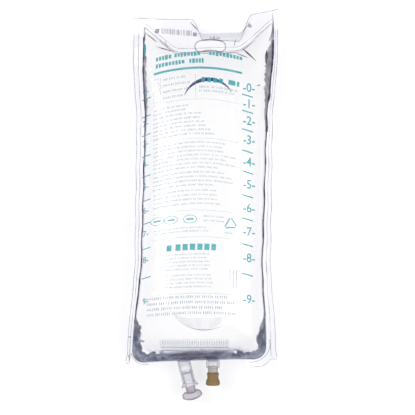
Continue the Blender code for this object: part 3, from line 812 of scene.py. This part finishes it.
# teal print in millimetres
tealPrint = dict(
    # two rows of heading as plain blocks of letter size: x from and to, y, height
    headings=((-42.3, -29.0, 138.6, 4.6), (-25.4, 2.4, 138.8, 4.2), (6.6, 36.4, 139.4, 4.2),
              (-42.3, -15.0, 132.0, 4.2), (-11.6, 3.4, 132.2, 4.8)),
    letterFrom=1.8, letterTo=2.7, letterGap=0.75,
    # the band under them, and the bar up the left side: both ends and width
    band=(-44.1, 125.4, 36.8, 125.6, 2.1), upright=(-53.4, 157.0, -53.6, 146.5, 1.9),
    # two more rows of plain blocks: x from and to, then y of both ends and height
    upper=((-0.4, 2.8), (5.0, 8.4), (10.4, 13.8), (15.8, 19.2), (24.2, 30.6), (32.0, 34.2)),
    upperRow=(114.4, 114.2, 4.6),
    lower=((-32.2, -27.6), (-24.0, -19.4), (-17.6, -12.8), (-11.0, -6.0), (-4.2, 0.6), (2.2, 6.9),
           (8.6, 12.9)),
    lowerRow=(-38.4, -38.6, 5.8),
    # rings with a short bar inside, and a triangle whose sides stop short of its corners
    rings=((-40.7, -11.6), (-28.2, -12.6), (-10.8, -13.1)), ringWide=12.6, ringTall=7.8, ringLine=0.5,
    ringBar=3.2, ringBarLine=1.5,
    triangle=((20.3, -20.2), (26.2, -9.4), (32.2, -18.2)), triangleCut=0.12, triangleLine=1.1)


def buildTealInk():
    ink = [], []
    for side, text in (('right', "-%d-"), ('left', "%d-")):
        x, slope, share = label[side + 'Column']
        for i, y in enumerate(label[side + 'Numbers']):
            scaleNumber(*ink, text % i, x, y, slope, label['numberSize'] * share)
        x1, rise1, x2, rise2, width = label[side + 'Tick']
        for y in label[side + 'Ticks']:
            bar(*ink, x1, y + rise1 + bow(x1, y), x2, y + rise2 + bow(x2, y), width)
    dice = random.Random(4)
    for x, x2, y, tall in tealPrint['headings']:
        while x < x2 - 1.2:
            wide = dice.uniform(tealPrint['letterFrom'], tealPrint['letterTo'])
            bar(*ink, x, y, x + wide, y + 0.05, tall * dice.uniform(0.72, 1.05))
            x += wide + tealPrint['letterGap']
    bar(*ink, *tealPrint['band'])
    for row in ('upper', 'lower'):
        y1, y2, tall = tealPrint[row + 'Row']
        for x1, x2 in tealPrint[row]:
            bar(*ink, x1, y1, x2, y2, tall)
    bar(*ink, *tealPrint['upright'])
    for x, y in tealPrint['rings']:
        ring(*ink, x, y, tealPrint['ringWide'], tealPrint['ringTall'], tealPrint['ringLine'])
        bar(*ink, x - tealPrint['ringBar'], y, x + tealPrint['ringBar'], y, tealPrint['ringBarLine'])
    corners, cut = tealPrint['triangle'], tealPrint['triangleCut']
    for (x1, y1), (x2, y2) in zip(corners, corners[1:] + corners[:1]):
        bar(*ink, x1 + (x2 - x1) * cut, y1 + (y2 - y1) * cut, x1 + (x2 - x1) * (1 - cut),
            y1 + (y2 - y1) * (1 - cut), tealPrint['triangleLine'])
    return inkObject("tealInk", *ink)


# grey print in millimetres
greyPrint = dict(
    # small boxes with a line of print beside each: y, and where that line stops
    boxes=((117.8, -16.0), (112.2, -8.0), (106.4, -13.0), (100.6, -20.0)),
    boxLeft=-44.0, boxRight=-38.0, boxHalf=2, boxLine=0.4, textLeft=-35.0, textTall=2.0,
    # lines across, one upright line, and three short thick ones
    rules=(96.2, 60.2, -5.2, -29.5, -80.9), ruleLeft=-45.1, ruleRight=33.1, fineLine=0.35,
    upright=(-6.0, 119.4, -6.0, 98.4), strokes=(25.6, 28.8, 31.6), strokeTop=-58.0, strokeEnd=-74.5,
    thickLine=0.8,
    # blocks of small print: x from and to, y of the first and last line, lines, letter height, seed, and
    # fullness where it isn't the usual one
    texts=((-2.0, 34.0, 107.6, 104.0, 2, 1.9, 5), (-44.0, -6.0, 91.0, 83.4, 3, 1.7, 7),
           (-44.0, 10.0, 79.4, 64.6, 5, 1.7, 8), (-44.0, 31.0, 56.6, 34.0, 7, 1.5, 9),
           (-44.0, 26.0, 29.6, 18.0, 4, 1.6, 10), (-44.0, 18.0, 13.0, 1.0, 4, 1.5, 12),
           (2.0, 18.0, -10.6, -14.6, 2, 1.4, 13), (-43.0, 12.0, -20.8, -24.0, 2, 1.4, 14),
           (-33.1, 8.0, -45.0, -58.6, 5, 1.4, 15), (-33.1, 12.0, -64.0, -74.6, 4, 1.4, 16),
           (-50.0, 28.0, -83.8, -98.4, 4, 2.4, 17, 1.0), (21.0, 31.5, -24.4, -24.4, 1, 1.6, 18)))


def buildGreyInk():
    ink = [], []
    left, right, half = greyPrint['boxLeft'], greyPrint['boxRight'], greyPrint['boxHalf']
    for y, stop in greyPrint['boxes']:
        for level in (y + half, y - half):
            bar(*ink, left, level, right, level, greyPrint['boxLine'])
        for x in (left, right):
            bar(*ink, x, y - half, x, y + half, greyPrint['boxLine'])
        textLines(*ink, greyPrint['textLeft'], stop, y, y, 1, greyPrint['textTall'], int(y), 1.0)
    bar(*ink, *greyPrint['upright'], greyPrint['fineLine'])
    for y in greyPrint['rules']:
        bar(*ink, greyPrint['ruleLeft'], y, greyPrint['ruleRight'], y, greyPrint['fineLine'])
    for block in greyPrint['texts']:
        textLines(*ink, *block)
    for x in greyPrint['strokes']:
        bar(*ink, x, greyPrint['strokeTop'], x, greyPrint['strokeEnd'], greyPrint['thickLine'])
    return inkObject("greyInk", *ink)


# codes along the header, in millimetres: four squares, and two rows of fine strokes
headerCode = dict(squares=((-41.4, 160.4, 4.0), (-6.6, 157.0, 3.6), (4.4, 152.6, 3.4), (44.2, 165.4, 3.6)),
                  rows=((-37.5, -9.2, 160.0, 157.6), (7.6, 17.0, 152.4, 151.8)), tall=2.5)


def buildCodeInk():
    ink = [], []
    for x, y, size in headerCode['squares']:
        y += bow(x, y)
        bar(*ink, x - size / 2, y, x + size / 2, y - 0.6, size)
    dice, tall = random.Random(21), headerCode['tall']
    for x1, x2, y1, y2 in headerCode['rows']:
        x = x1
        while x < x2:
            y = y1 + (y2 - y1) * (x - x1) / (x2 - x1) + bow(x, y1)
            bar(*ink, x, y - tall, x + 0.05, y + tall, dice.uniform(0.35, 0.8))
            x += dice.uniform(0.9, 1.7)
    return inkObject("codeInk", *ink)


tealInk = buildTealInk()
greyInk = buildGreyInk()
codeInk = buildCodeInk()
print("print", len(tealInk.data.polygons) + len(greyInk.data.polygons), "faces")


# materials; objects are in metres, so a noise of scale s has its clouds about 1000 / s millimetres apart

def clearFilm():
    # blown EVA and polyolefin film: colourless from the front, tinted grey blue where the eye meets it edge
    # on, which is painted shade, with a soft gloss broken by swells about 18 mm long; the flat welded parts
    # stay pale, with a fainter painted shade edge on
    made, add = newMaterial("clearBlownFilm")
    place = add('TexCoord').outputs['Object']
    fine = add('TexNoise', {'Scale': 55.0, 'Detail': 3.0, 'Roughness': 0.55, 'Vector': place})
    bump = add('Bump', {'Strength': 0.25, 'Distance': 0.0006, 'Height': fine})
    facing = add('LayerWeight', {'Normal': bump}).outputs['Facing']
    # both ramps darken the film edge on: painted shade
    pouch = setRamp(add('ValToRGB', {'Fac': facing}),
                    [(0.0, '#ffffff'), (0.45, '#f8f8fb'), (0.65, '#dcdee6'), (1.0, '#83879b')])
    flat = setRamp(add('ValToRGB', {'Fac': facing}),
                   [(0.0, '#fdfdfe'), (0.5, '#f9f9fb'), (0.8, '#f2f2f5'), (1.0, '#dedee4')])
    zone = add('Attribute', {'attribute_name': "flatFilm"}).outputs['Fac']
    tint = add('Mix', {'data_type': 'RGBA', 0: zone, 6: pouch, 7: flat}).outputs[2]
    clear = add('BsdfTransparent', {'Color': tint})
    gloss = add('BsdfGlossy', {'Color': srgb('#ffffff'), 'Roughness': 0.12, 'Normal': bump})
    # reflects a little from the front and more edge on, on its outer side only
    edge = add('Math', {'operation': 'POWER', 1: 4.0, 0: facing})
    share = add('Math', {'operation': 'MULTIPLY_ADD', 1: 0.7, 2: 0.04, 0: edge})
    sheet = add('NewGeometry').outputs['Backfacing']
    outer = add('Math', {'operation': 'SUBTRACT', 0: 1.0, 1: sheet})
    share = add('Math', {'operation': 'MULTIPLY', 0: share, 1: outer})
    return surfaced(made, add('MixShader', {0: share, 1: clear, 2: gloss}))


def clearSolution():
    # salt water: no colour of its own, bends what lies behind it; a painted shade is laid along its rims
    made, add = newMaterial("salineWater")
    water = add('BsdfPrincipled', {'Base Color': srgb('#ffffff'), 'Roughness': 0.0, 'IOR': 1.333,
                                   'Transmission Weight': 1.0})
    through = add('BsdfTransparent', {'Color': srgb('#f6f6fa')})
    ray = add('LightPath')
    # rays that a steep rim throws back along the bag get a painted shade, a dark glow in place of the light
    # lost there:
    # blue grey by the ports and a warmer, paler grey further up
    place = add('TexCoord').outputs['Object']
    cloud = add('TexNoise', {'Scale': 90.0, 'Detail': 3.0, 'Roughness': 0.6, 'Vector': place})
    tone = setRamp(add('ValToRGB', {'Fac': cloud}), [(0.36, '#30354e'), (0.5, '#50556e'), (0.66, '#9094a8')])
    warm = setRamp(add('ValToRGB', {'Fac': cloud}), [(0.36, '#6a6470'), (0.5, '#8d8792'), (0.66, '#bab5bc')])
    along = add('SeparateXYZ', {0: place}).outputs['Y']
    upper = add('MapRange', {1: -0.100, 2: -0.040, 0: along})
    tone = add('Mix', {'data_type': 'RGBA', 0: upper, 6: tone, 7: warm}).outputs[2]
    # painted shade: a dark glow that stands in for light lost in the rims
    paintedShadeGlow = add('Emission', {'Color': tone})
    turned = add('Math', {'operation': 'GREATER_THAN', 1: 1.5, 0: ray.outputs['Ray Depth']})
    direct = add('Math', {'operation': 'LESS_THAN', 1: 0.5, 0: ray.outputs['Diffuse Depth']})
    sheet = add('NewGeometry').outputs['Backfacing']
    share = add('Math', {'operation': 'MULTIPLY', 0: turned, 1: direct})
    share = add('Math', {'operation': 'MULTIPLY', 0: share, 1: sheet})
    share = add('Math', {'operation': 'MULTIPLY', 1: 0.85, 0: share})
    # the whole rim by the corners gets the same painted shade, with an inner edge torn by clouds of 6 mm: the
    # noise is
    # 0.5 on average, so the painted shade ends about one width of the rim from the weld
    torn = add('TexNoise', {'Scale': 170.0, 'Detail': 4.0, 'Roughness': 0.65, 'Vector': place})
    depth = add('Attribute', {'attribute_name': "rimDepth"}).outputs['Fac']
    strength = add('Attribute', {'attribute_name': "rimStrength"}).outputs['Fac']
    edge = add('Math', {'operation': 'MULTIPLY_ADD', 1: 1.5, 0: torn, 2: depth})
    edge = add('MapRange', {1: 1.62, 2: 1.80, 3: 0.92, 4: 0.0, 0: edge})
    edge = add('Math', {'operation': 'MULTIPLY', 0: edge, 1: strength})
    outer = add('Math', {'operation': 'SUBTRACT', 0: 1.0, 1: sheet})
    edge = add('Math', {'operation': 'MULTIPLY', 0: edge, 1: outer})
    share = add('Math', {'operation': 'MAXIMUM', 0: share, 1: edge})
    rim = add('MixShader', {0: share, 1: water, 2: paintedShadeGlow})
    return surfaced(made, add('MixShader', {0: ray.outputs['Is Shadow Ray'], 1: rim, 2: through}))


def tintedSheet(name, code, dark, scale):
    # a thin layer which only takes away light, cloudy between two tones; it serves for pressed film, for
    # folds and for the painted shade at the bubble's rim
    made, add = newMaterial(name)
    place = add('TexCoord').outputs['Object']
    cloud = add('TexNoise', {'Scale': scale, 'Vector': place})
    tone = setRamp(add('ValToRGB', {'Fac': cloud}), [(0.35, dark), (0.65, code)])
    return surfaced(made, add('BsdfTransparent', {'Color': tone}))


def printInk(name, code, cover):
    # screen printed ink: thin, matt, a little worn so that the film shows through in specks, drawn 1.4 mm
    # apart because real ones are too fine to show
    made, add = newMaterial(name)
    place = add('TexCoord').outputs['Object']
    worn = add('TexNoise', {'Scale': 700.0, 'Vector': place})
    share = add('MapRange', {1: 0.3, 2: 0.6, 3: cover - 0.25, 4: cover, 0: worn})
    body = add('BsdfPrincipled', {'Base Color': srgb(code), 'Roughness': 0.6})
    clear = add('BsdfTransparent')
    return surfaced(made, add('MixShader', {0: share, 1: clear, 2: body}))


def clearMoulding(name, front, edge, roughness, cover):
    # moulded polycarbonate and extruded PVC tube: nearly clear from the front, grey at the turned edge as
    # painted shade
    made, add = newMaterial(name)
    facing = add('LayerWeight').outputs['Facing']
    ramp = setRamp(add('ValToRGB', {'Fac': facing}), [(0.0, front), (0.45, front), (1.0, edge)])
    clear = add('BsdfTransparent', {'Color': ramp})
    body = add('BsdfPrincipled', {'Roughness': roughness, 'IOR': 1.49, 'Base Color': ramp})
    return surfaced(made, add('MixShader', {0: cover, 1: clear, 2: body}))


def ribbedPlate():
    # moulded polypropylene, frosted white, with fine ribs across the band that the film grips, drawn as faint
    # grey stripes that are painted shade; a wave of scale s has its ribs 314 / s mm apart, here 1.65 mm;
    # bands, line and sleeves are told apart by y
    made, add = newMaterial("mouldedPortPlate")
    place = add('TexCoord').outputs['Object']
    ribs = add('TexWave', {'Scale': 190.0, 'Distortion': 0.6, 'Detail': 1.0, 'Vector': place}).outputs['Fac']
    along = add('SeparateXYZ', {0: place}).outputs['Y']
    band = add('MapRange', {1: -0.1290, 2: -0.1270, 0: along})
    tone = setRamp(add('ValToRGB', {'Fac': ribs}), [(0.25, '#f2f3f6'), (0.6, '#ffffff')])
    plain = add('Mix', {'data_type': 'RGBA', 6: srgb('#ffffff'), 0: band, 7: tone}).outputs[2]
    line = add('Math', {'operation': 'COMPARE', 1: -0.1306, 2: 0.0004, 0: along})
    turn = add('MapRange', {1: -0.1362, 2: -0.1378, 0: along})
    sleeve = add('MapRange', {1: -0.1454, 2: -0.1444, 0: along})
    turn = add('Math', {'operation': 'MULTIPLY', 0: turn, 1: sleeve})
    shade = add('Math', {'operation': 'MAXIMUM', 0: line, 1: turn})
    # faces seen edge on turn grey: painted shade
    facing = add('LayerWeight').outputs['Facing']
    cut = add('MapRange', {1: 0.86, 2: 0.97, 4: 0.8, 0: facing})
    shade = add('Math', {'operation': 'MAXIMUM', 0: shade, 1: cut})
    colour = add('Mix', {'data_type': 'RGBA', 7: srgb('#e2e3ea'), 0: shade, 6: plain}).outputs[2]
    body = add('BsdfPrincipled', {'Roughness': 0.4, 'IOR': 1.49, 'Base Color': colour})
    glow = add('BsdfTranslucent', {'Color': colour})
    both = add('MixShader', {0: 0.35, 1: body, 2: glow})
    clear = add('BsdfTransparent', {'Color': colour})
    return surfaced(made, add('MixShader', {0: 0.02, 1: clear, 2: both}))


def tanRubber():
    # moulded butyl rubber: matt tan, darker and greyer at the turned edge as painted shade; its grain is
    # drawn 1.1 mm wide, coarser than the real one, which is too fine to show
    made, add = newMaterial("tanButylRubber")
    place = add('TexCoord').outputs['Object']
    grain = add('TexNoise', {'Scale': 900.0, 'Vector': place})
    ramp = setRamp(add('ValToRGB', {'Fac': grain}), [(0.3, '#7d6136'), (0.7, '#8f713f')])
    # painted shade: the edge seen at a slant turns darker and greyer
    facing = add('LayerWeight', {'Blend': 0.35}).outputs['Facing']
    turn = add('Mix', {'data_type': 'RGBA', 7: srgb('#6a6052'), 0: facing, 6: ramp}).outputs[2]
    bump = add('Bump', {'Strength': 0.3, 'Distance': 0.0001, 'Height': grain})
    return surfaced(made, add('BsdfPrincipled', {'Roughness': 0.62, 'Base Color': turn, 'Normal': bump}))


ridesBag(film, clearFilm(), "film_bag")
ridesBag(solution, clearSolution(), "solution")
for item, name, code, dark, scale, slot in (
        # the three bubble sheets are painted shade where the water's surface bends light
        (upperRim, "bubbleShade", '#6a7096', '#3c4270', 60.0, "solution"),
        (lowerRim, "bubbleLineShade", '#c2c4cf', '#a0a3b2', 60.0, "solution"),
        (lowerLens, "bubbleLensShade", '#f7f7fa', '#ececf0', 110.0, "solution"),
        (weldBeads, "pressedWeld", '#e2e0e6', '#b9b6c0', 120.0, "film"),
        # grey of the folds: partly stacked film, partly painted shade of the creases
        (gatheredFolds, "gatheredFilmCreaseShade", '#cfcbd2', '#938d9a', 180.0, "film"),
        (slotRim, "pressedSlotRim", '#e3e1e6', '#cbc8cf', 120.0, "film")):
    ridesBag(item, tintedSheet(name, code, dark, scale))
for item, name, code, cover in ((tealInk, "tealScreenInk", '#2d9fa6', 0.97),
                                (greyInk, "greyScreenInk", '#98a8b0', 0.7),
                                (codeInk, "darkScreenInk", '#74767f', 0.8)):
    ridesBag(item, printInk(name, code, cover))

# the second colour of each clear moulding is the painted shade at its turned edge
clearTube = clearMoulding("extrudedClearTube", '#fdfdfe', '#8e8f99', 0.2, 0.10)
finishes = dict(
    port_plate=ribbedPlate(), outlet_tube=clearTube, outlet_fitting=clearTube, outlet_membrane=clearTube,
    injection_tube=clearTube,
    outlet_cap=clearMoulding("smokyClearCap", '#e6e3e6', '#77717b', 0.15, 0.26),
    injection_neck=clearMoulding("greyNeckRing", '#cfc9c2', '#8f8a84', 0.3, 0.6),
    injection_stopper=tanRubber())
for name, finish in finishes.items():
    setFinish(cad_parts[name], finish)


# stage: white paper lit by two soft lamps, with a glow of its own as seen directly and through the water
stage = dict(table=0.9, glowSeen=0.6, glowWet=0.94, lampPower=9.5, lampSize=0.9,
             lamps=dict(softLeft=(-0.9, 0.3, 1.1), softRight=(0.9, -0.3, 1.1)))


def buildStage():
    only(film)
    bpy.ops.mesh.primitive_plane_add(size=stage['table'], location=(0, 0, 0))
    floor = bpy.context.active_object
    floor.name = "studioFloor"
    made, add = newMaterial("whitePaper")
    body = add('BsdfDiffuse', {'Color': srgb('#fdfdfd')})
    glow = add('Emission')
    ray = add('LightPath')
    # seen directly it keeps the bag's shadow, seen through the water it is nearly plain white, because lamp
    # light doesn't reach it through more than eight clear layers
    seen = add('Math', {'operation': 'MAXIMUM', 0: ray.outputs['Is Camera Ray'],
                        1: ray.outputs['Is Glossy Ray']})
    seen = add('Math', {'operation': 'MULTIPLY', 1: stage['glowSeen'], 0: seen})
    wet = add('Math', {'operation': 'MULTIPLY', 1: stage['glowWet'], 0: ray.outputs['Is Transmission Ray']})
    seen = add('Math', {'operation': 'MAXIMUM', 0: seen, 1: wet})
    mix = add('MixShader', {0: seen, 1: body, 2: glow})
    floor.data.materials.append(surfaced(made, mix))

    world = bpy.data.worlds.new("softRoom")
    bpy.context.scene.world = world
    world.use_nodes = True
    world.node_tree.nodes.clear()
    add = partial(addNode, world.node_tree)
    way = add('SeparateXYZ', {0: add('TexCoord').outputs['Generated']})
    # a dark room behind both ends of the bag, bright screens on its two long sides, bright ceiling
    ramp = setRamp(add('ValToRGB', {'Fac': way.outputs['Z']}),
                   [(0.0, '#3f4459'), (0.5, '#565b72'), (0.75, '#c3c5ce'), (0.9, '#e2e2e6')])
    side = add('Math', {'operation': 'ABSOLUTE', 0: way.outputs['X']})
    screen = setRamp(add('ValToRGB', {'Fac': side}), [(0.45, '#000000'), (0.8, '#d8d9e0')])
    both = add('Mix', {'data_type': 'RGBA', 'blend_type': 'LIGHTEN', 0: 1.0, 6: ramp, 7: screen}).outputs[2]
    room = add('Background', {'Color': both})
    white = add('Background', {'Color': srgb('#ffffff')})
    ray = add('LightPath')
    add('OutputWorld', {'Surface': add('MixShader', {0: ray.outputs['Is Camera Ray'], 1: room, 2: white})})

    for name, place in stage['lamps'].items():
        lamp = bpy.data.lights.new(name, 'AREA')
        lamp.size = stage['lampSize']
        lamp.energy = stage['lampPower']
        item = bpy.data.objects.new(name, lamp)
        bpy.context.scene.collection.objects.link(item)
        item.location = place
        item.rotation_euler = (-Vector(place)).to_track_quat('-Z', 'Y').to_euler()


buildStage()

# camera straight above; one pixel of the 415 x 415 picture is 0.92 mm on the bag
shot = dict(x=0.0051, y=-0.0029, height=2.0, level=0.020, field=415 * 0.00092, sensor=36.0)
camera = bpy.data.cameras.new("camera")
camera.lens = shot['sensor'] * (shot['height'] - shot['level']) / shot['field']
camera.sensor_width = shot['sensor']
view = bpy.data.objects.new("camera", camera)
bpy.context.scene.collection.objects.link(view)
view.location = (shot['x'], shot['y'], shot['height'])
bpy.context.scene.camera = view
bpy.context.scene.view_settings.view_transform = 'Standard'
